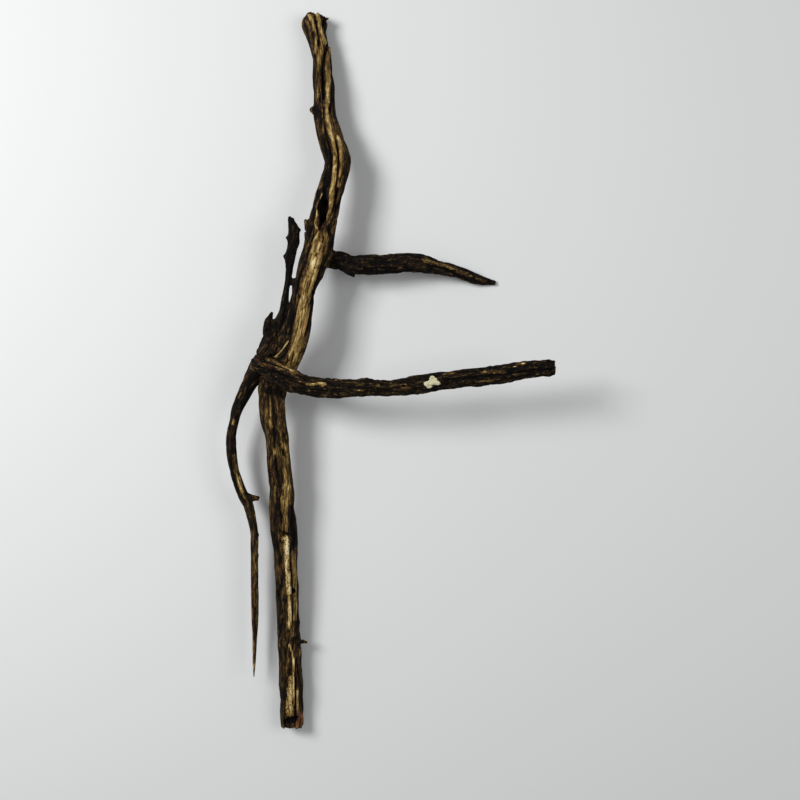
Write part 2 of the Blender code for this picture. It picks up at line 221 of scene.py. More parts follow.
# Marks on the wood as they are seen from above: path in x and y at the height of the limb's middle, half
# width, and what the mark does. "rise" is in millimetres, and the rest are shares from 0 to 1. The darkening
# mark is partly the wood's own dark colour and partly painted shade in the grooves, the hollows and under the low
# branch.
MARKS = [
    # Crown
    ([(-69.9, 345), (-69.9, 338), (-68.5, 333), (-68, 328.5), (-66.6, 324.5)], 1.3, dict(rise=-2.0, dark_wood_and_shade=1)),
    ([(-75.7, 342), (-72.8, 338), (-71.4, 333.5), (-70.9, 328.5)], 2.2, dict(rise=1.0, gold=0.8, pale=0.2)),
    ([(-78.5, 337), (-76, 331), (-74.5, 325)], 1.4, dict(gold=0.5)),
    ([(-81, 333), (-78, 324), (-75.5, 316), (-73.5, 308)], 1.8, dict(rise=-0.8, dark_wood_and_shade=0.7)),
    ([(-68, 343), (-65.6, 338), (-65.1, 332.5), (-63.7, 327.5), (-61.7, 321), (-60.3, 315)], 2.9,
     dict(rise=1.2, gold=1)),
    ([(-61.7, 341), (-60.3, 334.5)], 1.9, dict(dark_wood_and_shade=0.8, rust=0.4)),
    ([(-61.7, 337), (-63, 328.5), (-60.3, 320)], 1.0, dict(rise=-1.2, dark_wood_and_shade=0.9)),
    ([(-69.9, 327.5), (-68.8, 320), (-68.8, 313), (-69.9, 305.5)], 2.1, dict(rise=1.0, gold=0.8)),
    ([(-67, 318.5), (-66.6, 313)], 1.5, dict(rise=-1.8, dark_wood_and_shade=1)),
    # Neck
    ([(-65.1, 325), (-62.2, 316), (-63.7, 308), (-65.6, 302), (-66.1, 289), (-65.1, 277), (-66, 262)], 2.9,
     dict(rise=0.8, gold=0.55, rust=0.3)),
    ([(-56.4, 314), (-58.4, 310), (-60.3, 302.5), (-61.5, 294), (-61.7, 279.5), (-61.1, 260)], 1.9,
     dict(rise=-2.2, dark_wood_and_shade=1)),
    ([(-56.4, 310), (-57.2, 298.5), (-57.4, 289), (-56.4, 279.5), (-57.2, 270), (-57.4, 260), (-58, 247)], 3.1,
     dict(rise=1.2, gold=0.85)),
    ([(-69.9, 302.5), (-69.5, 279.5)], 1.2, dict(rise=-1.0, dark_wood_and_shade=0.8)),
    ([(-72.5, 305), (-71.5, 290), (-71, 262), (-70, 240)], 1.8, dict(dark_wood_and_shade=0.6)),
    ([(-53, 290), (-52.3, 270), (-51.5, 255), (-50.5, 240)], 1.7, dict(dark_wood_and_shade=0.7)),
    ([(-56.3, 256), (-54, 256)], 0.9, dict(rise=0.5, pale=1)),
    ([(-68, 260), (-68, 259)], 1.0, dict(pale=0.6)),
    # Bend
    ([(-62.5, 248), (-61, 238.5), (-61.5, 226)], 1.7, dict(gold=0.55)),
    ([(-61, 252), (-60.5, 242), (-60, 232), (-58.5, 222), (-55.5, 212), (-53.5, 202), (-53, 190), (-54.5, 180)],
     1.4, dict(rise=-1.4, dark_wood_and_shade=0.9)),
    ([(-62.5, 220), (-59.5, 210), (-56.5, 200), (-56.5, 188), (-58.5, 178)], 3.8, dict(dark_wood_and_shade=0.75)),
    ([(-58.7, 248), (-56.7, 236.5), (-54.8, 226), (-51, 215.5), (-49.1, 204), (-49.4, 190), (-50.8, 180), (-52.5, 170),
      (-53, 160), (-53.3, 151), (-54.5, 143)], 3.1, dict(rise=1.5, gold=1)),
    ([(-48.6, 217), (-46.4, 204), (-46, 194), (-46.8, 185), (-47.8, 172), (-48.3, 160), (-48, 150)], 1.4,
     dict(rise=-2.2, dark_wood_and_shade=0.8, rust=0.8)),
    ([(-47.2, 221), (-44.8, 212), (-43.6, 203), (-42.8, 194), (-44.2, 184), (-45.8, 173)], 2.6,
     dict(rise=1.2, gold=0.85)),
    ([(-46.8, 220), (-45.5, 213)], 1.4, dict(pale=0.4)),
    ([(-40, 205), (-38, 197), (-39, 187), (-41, 177), (-43.5, 165), (-45, 152)], 2.2, dict(dark_wood_and_shade=0.7)),
    ([(-49.5, 165), (-50, 152), (-50.5, 140), (-51, 128)], 1.7, dict(gold=0.5, rust=0.3)),
    # Round the hollow, with painted shade in it
    ([(-59.3, 177), (-58.6, 168), (-59.4, 158)], 2.4, dict(dark_wood_and_shade=1)),
    ([(-59.6, 156), (-59.8, 149), (-60.2, 142), (-61.8, 134)], 4.6, dict(dark_wood_and_shade=1)),
    ([(-60.9, 165.5), (-64.5, 159), (-66.8, 153), (-65.9, 144.5), (-67.8, 136), (-65.9, 132)], 1.3,
     dict(rise=0.9, gold=0.9)),
    ([(-66, 168), (-69, 157), (-70.5, 146), (-72.5, 136), (-74.5, 126)], 2.2, dict(dark_wood_and_shade=0.7)),
    ([(-53.5, 145), (-57.0, 136), (-61, 129.5), (-66, 123.5), (-70, 118)], 3.4, dict(rise=1.0, gold=0.85)),
    ([(-64, 132), (-67, 127), (-71, 121), (-75, 113)], 1.4, dict(rise=-1.2, dark_wood_and_shade=0.6)),
    # Gold wood down to the low branch
    ([(-61, 124), (-64.5, 112), (-67.5, 102)], 10, dict(gold=0.8)),
    ([(-67, 104), (-73.5, 84), (-77, 65), (-79.6, 47), (-82.3, 28), (-87.5, 11)], 7.8, dict(rise=0.4, gold=1)),
    ([(-73, 86), (-76.5, 68), (-79.5, 50), (-81, 36)], 2.6, dict(pale=0.22)),
    ([(-63.3, 118.5), (-65.3, 109.5)], 1.2, dict(rise=0.5, pale=0.8)),
    ([(-67.5, 104.5), (-70, 97), (-71.5, 92)], 1.3, dict(pale=0.45)),
    ([(-58.8, 124), (-60.8, 119)], 0.9, dict(rise=-1.5, dark_wood_and_shade=1)),
    ([(-65, 108.5), (-66.5, 106)], 1.0, dict(rise=-1.5, dark_wood_and_shade=1)),
    ([(-70.5, 108), (-74, 97), (-76.5, 88)], 0.9, dict(rise=-0.8, dark_wood_and_shade=0.7)),
    ([(-62, 113), (-66, 101), (-69.5, 89), (-72.5, 77)], 0.8, dict(rise=-0.7, dark_wood_and_shade=0.4)),
    ([(-73.5, 82), (-76.5, 70), (-79, 57), (-80.3, 45), (-80.5, 38)], 0.9, dict(rise=-0.8, dark_wood_and_shade=0.5)),
    ([(-57, 106), (-63, 90), (-67.5, 76), (-70.5, 62), (-72.5, 46), (-75, 30), (-79, 16)], 1.6,
     dict(dark_wood_and_shade=0.5, rust=0.2)),
    ([(-78, 100), (-82, 86), (-85.5, 72), (-87.5, 60), (-89.5, 46), (-92, 33)], 1.7, dict(rise=-1.8, dark_wood_and_shade=1)),
    ([(-78.5, 100), (-79, 90), (-82, 76)], 1.0, dict(rust=0.6)),
    ([(-80, 110), (-86, 92), (-88.5, 75), (-92, 58), (-95, 42), (-98, 30)], 4.0, dict(dark_wood_and_shade=0.45)),
    ([(-96, 48), (-97.5, 38), (-101, 26)], 0.9, dict(rise=0.6, gold=0.35)),
    ([(-105, 40), (-106, 30), (-110, 20)], 0.9, dict(rise=0.5, gold=0.3)),
    # Junction
    ([(-92.6, 26), (-96, 21), (-100.5, 15.5), (-105.5, 11)], 0.9, dict(rise=1.2, gold=0.9, pale=0.6)),
    ([(-94.5, 28), (-98, 21), (-102.5, 15.5)], 1.0, dict(rise=-1.3, dark_wood_and_shade=1)),
    ([(-90, 24), (-94, 16), (-99.5, 11)], 1.1, dict(rise=-1.0, dark_wood_and_shade=0.8)),
    ([(-88.5, 14), (-91, 6), (-88, -1)], 7.0, dict(rise=0.4, gold=0.85)),
    ([(-95, 3), (-93.5, 8), (-93, 13)], 0.9, dict(rise=-1.6, dark_wood_and_shade=1)),
    ([(-90.5, 3), (-88.5, 10), (-88, 17)], 0.9, dict(rise=-1.2, dark_wood_and_shade=0.8)),
    ([(-112.5, 9), (-104, 5.5), (-95, 1.5), (-88.5, -1.5), (-83, -4)], 1.9, dict(rise=1.0, gold=0.7)),
    ([(-123.5, 9), (-113, 5), (-102, 0.5), (-92, -4), (-85, -7.5)], 1.9, dict(rise=0.8, gold=0.55, rust=0.45)),
    ([(-123, 8.5), (-118, 7)], 2.0, dict(rust=0.9, gold=0.4)),
    ([(-118, 7.8), (-108, 4.8), (-99, 1.2), (-91, -2)], 0.9, dict(rise=-1.2, dark_wood_and_shade=0.9)),
    ([(-121, 2), (-111, -0.8), (-102, -3.2), (-94, -6.5), (-86, -9.5)], 1.4, dict(rise=-1.6, dark_wood_and_shade=1)),
    ([(-118, -2), (-108, -6), (-99, -11), (-93, -15)], 3.6, dict(dark_wood_and_shade=0.55)),
    ([(-118, -2.8), (-116, -3)], 0.9, dict(pale=0.35)),
    ([(-108.5, -8), (-107, -8.5)], 0.9, dict(pale=0.3)),
    # Low branch
    ([(-74, -14.8), (-67, -14.2), (-60, -13.5), (-57, -14)], 2.1, dict(rise=0.4, gold=1)),
    ([(-60.5, -15.5), (-59.5, -16.5)], 1.2, dict(pale=0.9)),
    ([(-72, -18.2), (-69, -17.8)], 0.9, dict(pale=0.6)),
    ([(-80, -18), (-68, -20), (-55, -21)], 1.5, dict(rise=-1.0, dark_wood_and_shade=0.6)),
    ([(-28, -16), (-22, -14)], 1.6, dict(gold=0.6)),
    ([(-30, -20), (-23, -20.5)], 1.1, dict(gold=0.5)),
    ([(-16, -13.5), (-13, -14.5)], 1.1, dict(pale=0.5)),
    ([(-12, -12.5), (-3, -13)], 1.5, dict(rust=0.8)),
    ([(2, -16), (8, -15.5)], 1.4, dict(gold=0.6)),
    ([(-5, -20.8), (-3, -20.8)], 1.1, dict(pale=0.5)),
    ([(12, -16), (13.5, -14.3), (17, -14.3), (18.5, -15.8), (17, -17.3), (13.5, -17.5), (12, -16)], 0.9,
     dict(rise=0.6, gold=0.6)),
    ([(14.5, -15.9), (16, -15.9)], 1.0, dict(rise=-0.8, dark_wood_and_shade=1)),
    ([(42, -9.5), (42.5, -10.5)], 4.2, dict(rise=0.5, lichen=1)),
    ([(36.5, -14), (41, -12.5), (46.3, -13.3)], 3.0, dict(rise=0.4, lichen=1)),
    ([(38, -16.5), (39.5, -16)], 2.2, dict(lichen=1)),
    ([(52, -6), (56, -4.5), (60.5, -3.7)], 1.7, dict(gold=0.7, pale=0.3)),
    ([(64, -4.5), (70, -5)], 1.3, dict(gold=0.3, rust=0.4)),
    ([(76, -4.5), (78, -4.5)], 1.1, dict(pale=0.5)),
    ([(84, -2.5), (95, -3.5)], 1.5, dict(gold=0.6)),
    ([(98, -4), (108, -3)], 2.2, dict(gold=0.75)),
    ([(116.5, 1.8), (118, 1.9)], 1.3, dict(pale=0.9)),
    ([(122, 4), (125, 4.5)], 1.1, dict(pale=0.7)),
    ([(136.3, -1.5), (136.3, -2.8)], 1.2, dict(pale=0.9)),
    ([(137, 6.5), (143, 7)], 1.2, dict(gold=0.5)),
    ([(146.5, -1), (147, 1)], 1.0, dict(pale=0.6)),
    ([(52, -10.5), (75, -8.5), (100, -6), (125, -3), (149, -0.8)], 1.6, dict(rise=-1.6, dark_wood_and_shade=1)),
    ([(82, -12.5), (95, -11), (105, -9)], 1.5, dict(gold=0.6)),
    ([(-50, -15.5), (-35, -17), (-18, -18.5), (0, -19)], 1.4, dict(rise=-1.0, dark_wood_and_shade=0.7)),
    # High branch
    ([(-24, 102), (-18, 102.3)], 1.6, dict(rise=0.4, gold=0.9)),
    ([(-20, 106), (-14, 105.5)], 1.2, dict(pale=0.6)),
    ([(-30, 103), (-27, 101.5)], 1.0, dict(gold=0.5)),
    ([(-20, 97.5), (-18, 97.3)], 1.3, dict(gold=0.5)),
    ([(-12, 92), (-10, 92)], 1.0, dict(pale=0.5)),
    ([(1, 104.5), (3, 104.3)], 1.1, dict(pale=0.4)),
    ([(6, 98), (15, 97)], 1.5, dict(gold=0.6)),
    ([(9, 93.5), (12, 93.5)], 1.3, dict(gold=0.5)),
    ([(22, 106.5), (30, 106.5)], 1.0, dict(gold=0.5)),
    ([(34, 105), (42, 103), (52, 101), (62, 98.5), (72, 94.5), (80, 91)], 2.5, dict(rise=0.8, gold=0.75)),
    ([(45, 97.5), (53, 95.5), (61, 92.5)], 1.6, dict(rise=0.5, gold=0.7)),
    ([(62, 92), (63, 90.5)], 1.0, dict(pale=0.9)),
    ([(40, 100.5), (52, 98), (60, 95), (68, 91.5), (76, 88)], 1.3, dict(rise=-1.3, dark_wood_and_shade=1)),
    ([(74, 97.3), (77.5, 96.8)], 1.5, dict(rise=1.0)),
    ([(45.5, 107.5), (48, 107.3)], 1.0, dict(pale=0.5)),
    ([(71, 95), (73, 94.5)], 1.2, dict(gold=0.9)),
    ([(80, 91), (88, 88.5), (96, 86.5)], 1.6, dict(gold=0.45)),
    ([(89.5, 89.5), (90.5, 88.8)], 1.0, dict(pale=0.6)),
    ([(-50, 97), (-30, 94), (-10, 92.5), (10, 92.5), (40, 94.5)], 2.5, dict(dark_wood_and_shade=0.5)),
    # Thin root
    ([(-133, -5), (-136, -13), (-138, -20)], 1.7, dict(gold=0.4, rust=0.9)),
    ([(-138, -22), (-140.5, -27)], 1.2, dict(gold=0.6, pale=0.8)),
    ([(-133, -17), (-136, -27)], 1.2, dict(gold=0.4)),
    ([(-139, -35), (-141, -44)], 1.2, dict(gold=0.3)),
    ([(-146, -48), (-146.3, -52)], 1.8, dict(gold=0.9, pale=0.4)),
    ([(-150.5, -57), (-150.3, -63)], 1.2, dict(rust=0.6, pale=0.6)),
    ([(-145.1, -82), (-142.7, -95.5), (-140.9, -105), (-139.5, -111), (-137.5, -116.5)], 2.7,
     dict(rise=0.5, gold=0.75)),
    ([(-140.3, -110), (-138.5, -115)], 1.8, dict(pale=0.25)),
    ([(-149, -85), (-148, -95), (-145.5, -107), (-142.5, -115), (-139, -123)], 1.3, dict(rise=-1.0, dark_wood_and_shade=0.9)),
    ([(-136, -121), (-126, -122)], 2.6, dict(gold=0.35)),
    ([(-123.5, -123.3), (-121, -123.5)], 2.2, dict(dark_wood_and_shade=1)),
    ([(-131.5, -126), (-131, -133), (-129.5, -141), (-127.5, -150)], 2.4, dict(gold=0.25, rust=0.3)),
    ([(-130.5, -139), (-130.5, -140)], 0.9, dict(pale=0.5)),
    ([(-123, -156.5), (-122.8, -160.5)], 1.4, dict(dark_wood_and_shade=1)),
    ([(-123.3, -177), (-123.3, -180)], 1.2, dict(dark_wood_and_shade=1)),
    ([(-127, -150), (-127.5, -165), (-127, -178), (-126.5, -190), (-126, -205)], 2.0, dict(rise=0.4, gold=0.3)),
    ([(-129.5, -170), (-129.8, -190), (-129, -210), (-128.5, -228)], 1.0, dict(rise=-0.8, dark_wood_and_shade=0.8)),
    ([(-130, -195), (-130, -215), (-129.5, -242), (-129.5, -255)], 1.4, dict(gold=0.2, rust=0.7)),
    ([(-127, -222), (-127.5, -240), (-127.3, -262)], 0.8, dict(rise=-0.5, dark_wood_and_shade=0.8)),
    ([(-129, -262), (-129.5, -275), (-129, -285)], 1.5, dict(gold=0.4, pale=0.2)),
    ([(-128.4, -291), (-128, -297)], 2.0, dict(dark_wood_and_shade=1)),
    # Stem below the branch
    # Painted shadow of the low branch on the stem below it
    ([(-112, -20), (-103, -22), (-98, -24)], 4.5, dict(dark_wood_and_shade=0.7)),
    ([(-116, -24), (-114.5, -35), (-113, -46)], 1.5, dict(rise=0.5, gold=0.3)),
    ([(-111, -25), (-110.5, -35), (-110, -44)], 0.8, dict(rise=0.5, gold=0.6)),
    ([(-112.3, -48), (-110, -54)], 2.2, dict(gold=0.6)),
    ([(-101, -30), (-100, -45), (-99.5, -58), (-98.5, -74)], 5.2, dict(gold=0.32)),
    ([(-97.5, -74), (-96.5, -90), (-96, -113), (-97.2, -131)], 6.4, dict(rise=0.3, gold=0.72)),
    ([(-96, -100), (-96, -113), (-97, -126), (-97.8, -142), (-98, -154)], 4.2, dict(rise=0.4, gold=0.85)),
    ([(-95, -81), (-93.5, -88)], 2.0, dict(gold=0.8, pale=0.3)),
    ([(-107.7, -76), (-107.2, -80)], 1.6, dict(gold=0.6, pale=0.7)),
    # Painted shade in a small hollow
    ([(-99.3, -76), (-98.6, -82)], 1.4, dict(rise=-1.0, dark_wood_and_shade=1)),
    ([(-106.9, -86), (-105.7, -94), (-104.5, -102)], 1.3, dict(rise=-1.5, dark_wood_and_shade=1)),
    ([(-108.5, -98), (-107, -108), (-106, -118)], 0.9, dict(gold=0.45)),
    ([(-103.5, -96), (-102.5, -110), (-103, -124), (-102.5, -140)], 0.9, dict(rise=-1.0, dark_wood_and_shade=0.6)),
    ([(-99.5, -92), (-98.5, -106), (-99.5, -120)], 0.7, dict(rise=-0.7, dark_wood_and_shade=0.5)),
    ([(-91.5, -131), (-90, -142), (-89.3, -155), (-88.8, -167)], 3.4, dict(rise=-0.8, dark_wood_and_shade=1)),
    ([(-91, -162), (-90, -162)], 0.9, dict(pale=0.6)),
    ([(-103, -154), (-97, -156.5), (-93, -158)], 1.5, dict(rise=-1.0, dark_wood_and_shade=0.9)),
    # Pale worn strips and the foot
    ([(-97.6, -161), (-96.9, -170), (-96.6, -182), (-95.9, -193), (-95.6, -204), (-94.7, -215)], 3.7,
     dict(rise=0.6, gold=0.8, pale=0.9, pits=1)),
    ([(-94.3, -219), (-94, -232), (-93.6, -245)], 2.4, dict(rise=0.4, gold=0.8, pale=0.6, pits=0.4)),
    ([(-90, -175), (-89.3, -186), (-88.7, -198), (-88.1, -211), (-88.1, -226), (-88.6, -240)], 2.9,
     dict(gold=0.7, pale=0.15)),
    ([(-92.6, -172), (-92.3, -185), (-91.8, -198), (-91.3, -206)], 1.0, dict(rise=-1.2, dark_wood_and_shade=0.8)),
    # Painted shade in a small hollow
    ([(-90.6, -212), (-90.5, -213)], 2.1, dict(dark_wood_and_shade=1)),
    ([(-108, -140), (-106.5, -165), (-105, -190), (-104.5, -215), (-103, -240), (-101.5, -262)], 4.0,
     dict(dark_wood_and_shade=0.35)),
    ([(-103.5, -190), (-102.8, -198), (-102.5, -206)], 1.6, dict(gold=0.45, rust=0.5)),
    ([(-107, -185), (-106.5, -210)], 0.8, dict(gold=0.3)),
    ([(-95, -243), (-92, -250), (-90.5, -256)], 3.6, dict(gold=0.7)),
    ([(-100, -257), (-92, -260), (-86, -258)], 2.2, dict(dark_wood_and_shade=0.45)),
    ([(-94.6, -265.5), (-94.3, -267)], 1.9, dict(rise=0.9, gold=0.6, pale=0.6)),
    ([(-93.6, -269), (-91.8, -273), (-90.6, -283.5), (-90.8, -296), (-90.6, -309), (-90.2, -324)], 1.4,
     dict(rise=0.9, gold=0.7, pale=0.6)),
    ([(-102.5, -270), (-101.5, -300), (-101, -332)], 3.0, dict(dark_wood_and_shade=0.25)),
    ([(-94, -297), (-95, -308)], 2.8, dict(gold=0.5, pale=0.6, pits=1)),
    ([(-95.3, -309), (-94.8, -320), (-94.2, -332)], 4.6, dict(gold=0.6, pale=0.75, pits=1)),
    ([(-88.9, -304), (-89, -318), (-88.6, -328), (-87.6, -336)], 1.0, dict(rise=-1.8, dark_wood_and_shade=1)),
    ([(-87, -310), (-86.6, -320), (-85.8, -331)], 1.6, dict(rise=0.5, gold=0.7, pale=0.6)),
    ([(-86, -270), (-85.5, -290), (-84.5, -310)], 2.0, dict(gold=0.3)),
    ([(-83, -270), (-82.7, -300), (-82.5, -320)], 1.2, dict(dark_wood_and_shade=0.6)),
    ([(-84.5, -334), (-85, -340), (-87, -344)], 4.4, dict(gold=0.75, rust=1.3)),
    # Painted shade in the hollow at the foot
    ([(-99, -340.5), (-94, -338.5), (-90, -338)], 2.9, dict(dark_wood_and_shade=1)),
]
PAINTS = ("gold", "pale", "rust", "lichen", "pits", "dark_wood_and_shade")

# How each paint and the painted shade in the furrows move the wood's tone, from 0, black, to 1.2, cream. The darkening
# paint is partly dark wood and partly painted shade.
TONES = {"gold": 0.44, "pale": 0.40, "dark_wood_and_shade": -0.32, "furrow": -0.30}


def hashed(x, y, z, seed):
    """A random-looking whole number for each lattice point."""
    h = x * np.uint32(374761393) + y * np.uint32(668265263) + z * np.uint32(2246822519)
    h = h + np.uint32(seed * 1274126177 % 2 ** 32)
    h = (h ^ (h >> np.uint32(13))) * np.uint32(1274126177)
    h = (h ^ (h >> np.uint32(16))) * np.uint32(2654435769)
    return h ^ (h >> np.uint32(15))


def noise(points, size, seed=0):
    """Smooth noise between about -1 and 1, with cells of the given size along each of the three axes."""
    p = points / np.asarray(size, dtype=float)
    cell = np.floor(p)
    f = p - cell
    cell = cell.astype(np.int64).astype(np.uint32)
    fade = f * f * f * (f * (f * 6 - 15) + 10)
    total = np.zeros(len(p))
    for corner in range(8):
        step = np.array([corner & 1, corner >> 1 & 1, corner >> 2 & 1])
        c = cell + step.astype(np.uint32)
        h = hashed(c[:, 0], c[:, 1], c[:, 2], seed)
        turn = (h & np.uint32(0xFFFF)) * (2 * math.pi / 65536)
        rise = (h >> np.uint32(16)) * (2 / 65535) - 1
        flat = np.sqrt(np.maximum(1 - rise * rise, 0))
        d = f - step
        dot = d[:, 0] * flat * np.cos(turn) + d[:, 1] * flat * np.sin(turn) + d[:, 2] * rise
        weight = np.prod(np.where(step, fade, 1 - fade), axis=1)
        total += weight * dot
    return total * 1.6


def smoothstep(low, high, x):
    t = np.clip((x - low) / (high - low), 0, 1)
    return t * t * (3 - 2 * t)


def smooth_route(route, step):
    """Points along a limb at even steps, on the smooth curve through its route, with the radius last."""
    knots = np.array(route, dtype=float)
    knots = np.vstack([2 * knots[0] - knots[1], knots, 2 * knots[-1] - knots[-2]])
    t = np.linspace(0, 1, 24, endpoint=False)[:, None]
    pieces = []
    for a, b, c, d in zip(knots, knots[1:], knots[2:], knots[3:]):
        curve = 2 * b + (c - a) * t + (2 * a - 5 * b + 4 * c - d) * t ** 2 + (3 * b - a - 3 * c + d) * t ** 3
        pieces.append(0.5 * curve)
    pieces.append(knots[-2:-1])
    dense = np.vstack(pieces)
    travelled = np.concatenate([[0], np.cumsum(np.linalg.norm(np.diff(dense[:, :3], axis=0), axis=1))])
    even = np.linspace(0, travelled[-1], max(2, round(travelled[-1] / step)) + 1)
    return np.stack([np.interp(even, travelled, column) for column in dense.T], axis=1), even


def directions(centres):
    """Unit vectors along the limb, to its side and up from it, at each of its points."""
    along = np.gradient(centres, axis=0)
    along /= np.linalg.norm(along, axis=1, keepdims=True)
    side = np.cross([0, 0, 1], along)
    side /= np.linalg.norm(side, axis=1, keepdims=True)
    return along, side, np.cross(along, side)


class Limb:
    """A limb's centre line, with the place of any point beside it."""

    def __init__(self, name, route, grain_of, ridges, turn, start, bark, tones):
        self.name = name
        self.route = route
        self.grain_of = grain_of
        self.ridges = ridges
        self.turn = math.radians(turn) / 100
        self.start = start
        self.bark = bark
        self.tones = tones
        stations, self.travelled = smooth_route(route, 1.0)
        self.centres = stations[:, :3]
        self.radii = stations[:, 3]
        self.along, self.side, self.up = directions(self.centres)

    def place(self, points):
        """For each point: its nearest station, and the distances along the limb, to its side and above it."""
        nearest = np.empty(len(points), dtype=int)
        squares = (self.centres ** 2).sum(1)
        for first in range(0, len(points), 20000):
            part = points[first:first + 20000]
            nearest[first:first + 20000] = (squares - 2 * part @ self.centres.T).argmin(1)
        offset = points - self.centres[nearest]
        along = self.travelled[nearest] + (offset * self.along[nearest]).sum(1)
        side = (offset * self.side[nearest]).sum(1)
        up = (offset * self.up[nearest]).sum(1)
        return nearest, along, side, up

    def mesh(self, wood):
        """Adds the limb's plain closed tube to wood."""
        stations, travelled = smooth_route(self.route, RING_STEP)
        _, side, up = directions(stations[:, :3])
        angles = np.linspace(0, 2 * math.pi, RING_POINTS, endpoint=False)
        rings = []
        for centre, radius, s, u, at in zip(stations[:, :3], stations[:, 3], side, up, travelled):
            turned = angles - self.turn * at
            share = 1 + sum(h * np.cos(n * turned + math.radians(a)) for n, h, a in self.ridges)
            ring = centre + radius * share[:, None] * (np.cos(angles)[:, None] * s + np.sin(angles)[:, None] * u)
            rings.append([wood.verts.new(p) for p in ring])
        for one, two in zip(rings, rings[1:]):
            for i in range(RING_POINTS):
                j = (i + 1) % RING_POINTS
                wood.faces.new((one[i], one[j], two[j], two[i]))
        wood.faces.new(rings[0][::-1])
        wood.faces.new(rings[-1])


def add_snag(wood, base, tip, base_radius, tip_radius):
    """A short cone from base to tip, part of the same wood."""
    base, tip = Vector(base), Vector(tip)
    direction = tip - base
    place = direction.to_track_quat("Z", "Y").to_matrix().to_4x4()
    place.translation = (base + tip) / 2
    bmesh.ops.create_cone(wood, cap_ends=True, segments=14, radius1=base_radius, radius2=tip_radius,
                          depth=direction.length, matrix=place)


def with_modifier(mesh, kind, **settings):
    """A new mesh: the given one after a modifier."""
    obj = bpy.data.objects.new("work", mesh)
    bpy.context.scene.collection.objects.link(obj)
    modifier = obj.modifiers.new("work", kind)
    for name, value in settings.items():
        setattr(modifier, name, value)
    result = bpy.data.meshes.new_from_object(obj.evaluated_get(bpy.context.evaluated_depsgraph_get()))
    bpy.data.objects.remove(obj, do_unlink=True)
    return result


def plain_wood(limbs):
    """All limbs and snags as one closed surface with small even faces, in millimetres."""
    wood = bmesh.new()
    for limb in limbs:
        limb.mesh(wood)
    for snag in SNAGS:
        add_snag(wood, *snag)
    bmesh.ops.recalc_face_normals(wood, faces=wood.faces)
    mesh = bpy.data.meshes.new("plain_wood")
    wood.to_mesh(mesh)
    wood.free()
    merged = with_modifier(mesh, "REMESH", mode="VOXEL", voxel_size=FIRST_VOXEL)
    set_points(merged, spread(get_points(merged), get_edges(merged), 2))
    return merged


def get_points(mesh):
    flat = np.empty(3 * len(mesh.vertices))
    mesh.vertices.foreach_get("co", flat)
    return flat.reshape(-1, 3)


def set_points(mesh, points):
    mesh.vertices.foreach_set("co", points.ravel())
    mesh.update()


def get_normals(mesh):
    flat = np.empty(3 * len(mesh.vertices), dtype=np.float32)
    mesh.vertex_normals.foreach_get("vector", flat)
    return flat.reshape(-1, 3).astype(float)


def get_edges(mesh):
    flat = np.empty(2 * len(mesh.edges), dtype=np.int32)
    mesh.edges.foreach_get("vertices", flat)
    return flat.reshape(-1, 2)


def spread(values, edges, rounds):
    """Values averaged with those of the neighbouring vertices, a number of times."""
    count = np.bincount(edges.ravel(), minlength=len(values)) + 1
    for _ in range(rounds):
        total = values.copy()
        for column in range(values.shape[1]):
            total[:, column] += np.bincount(edges[:, 0], values[edges[:, 1], column], len(values))
            total[:, column] += np.bincount(edges[:, 1], values[edges[:, 0], column], len(values))
        values = total / count[:, None]
    return values


def soft_normals(mesh, rounds):
    normals = spread(get_normals(mesh), get_edges(mesh), rounds)
    return normals / np.linalg.norm(normals, axis=1, keepdims=True)


class Places:
    """Where each vertex lies: in the grain, on which limb, how thick that is, and where it is seen from above."""

    def __init__(self, limbs, points, normals):
        by_name = {limb.name: limb for limb in limbs}
        found = {limb.name: limb.place(points) for limb in limbs}
        self.grain = np.zeros((len(points), 3))
        self.radius = np.zeros(len(points))
        self.bark = np.zeros(len(points))
        self.tone = np.zeros(len(points))
        self.facing_end = np.zeros(len(points))
        middle = np.zeros(len(points))
        total = np.zeros(len(points))
        gaps = {}
        for limb in limbs:
            nearest, along, side, up = found[limb.name]
            past = np.maximum(0, np.maximum(-along, along - limb.travelled[-1]))
            gap = np.hypot(np.maximum(np.hypot(side, up) - limb.radii[nearest], 0), past)
            gaps[limb.grain_of] = np.minimum(gaps.get(limb.grain_of, np.inf), gap)
            weight = np.exp(-gap / 1.6) + 1e-12
            total += weight
            self.radius += weight * limb.radii[nearest]
            self.bark += weight * limb.bark
            share = np.clip(along / limb.travelled[-1], 0, 1)
            self.tone += weight * (limb.tones[0] + (limb.tones[1] - limb.tones[0]) * share)
            self.facing_end += weight * np.abs((normals * limb.along[nearest]).sum(1))
            middle += weight * limb.centres[nearest, 2]
            guide = by_name[limb.grain_of]
            _, along, side, up = found[guide.name]
            turn = guide.turn * along
            turned = np.stack([side * np.cos(turn) + up * np.sin(turn), up * np.cos(turn) - side * np.sin(turn),
                               along + guide.start], axis=1)
            self.grain += weight[:, None] * turned
        self.grain /= total[:, None]
        self.radius /= total
        self.bark /= total
        self.tone /= total
        self.facing_end /= total
        middle /= total
        self.second_gap = np.sort(np.array(list(gaps.values())), axis=0)[1]
        camera = np.array(CAMERA_PLACE) / MM
        shift = (camera[2] - middle) / (camera[2] - points[:, 2])
        self.seen = camera[:2] + (points[:, :2] - camera[:2]) * shift[:, None]
        self.upper = smoothstep(-0.15, 0.25, normals[:, 2])


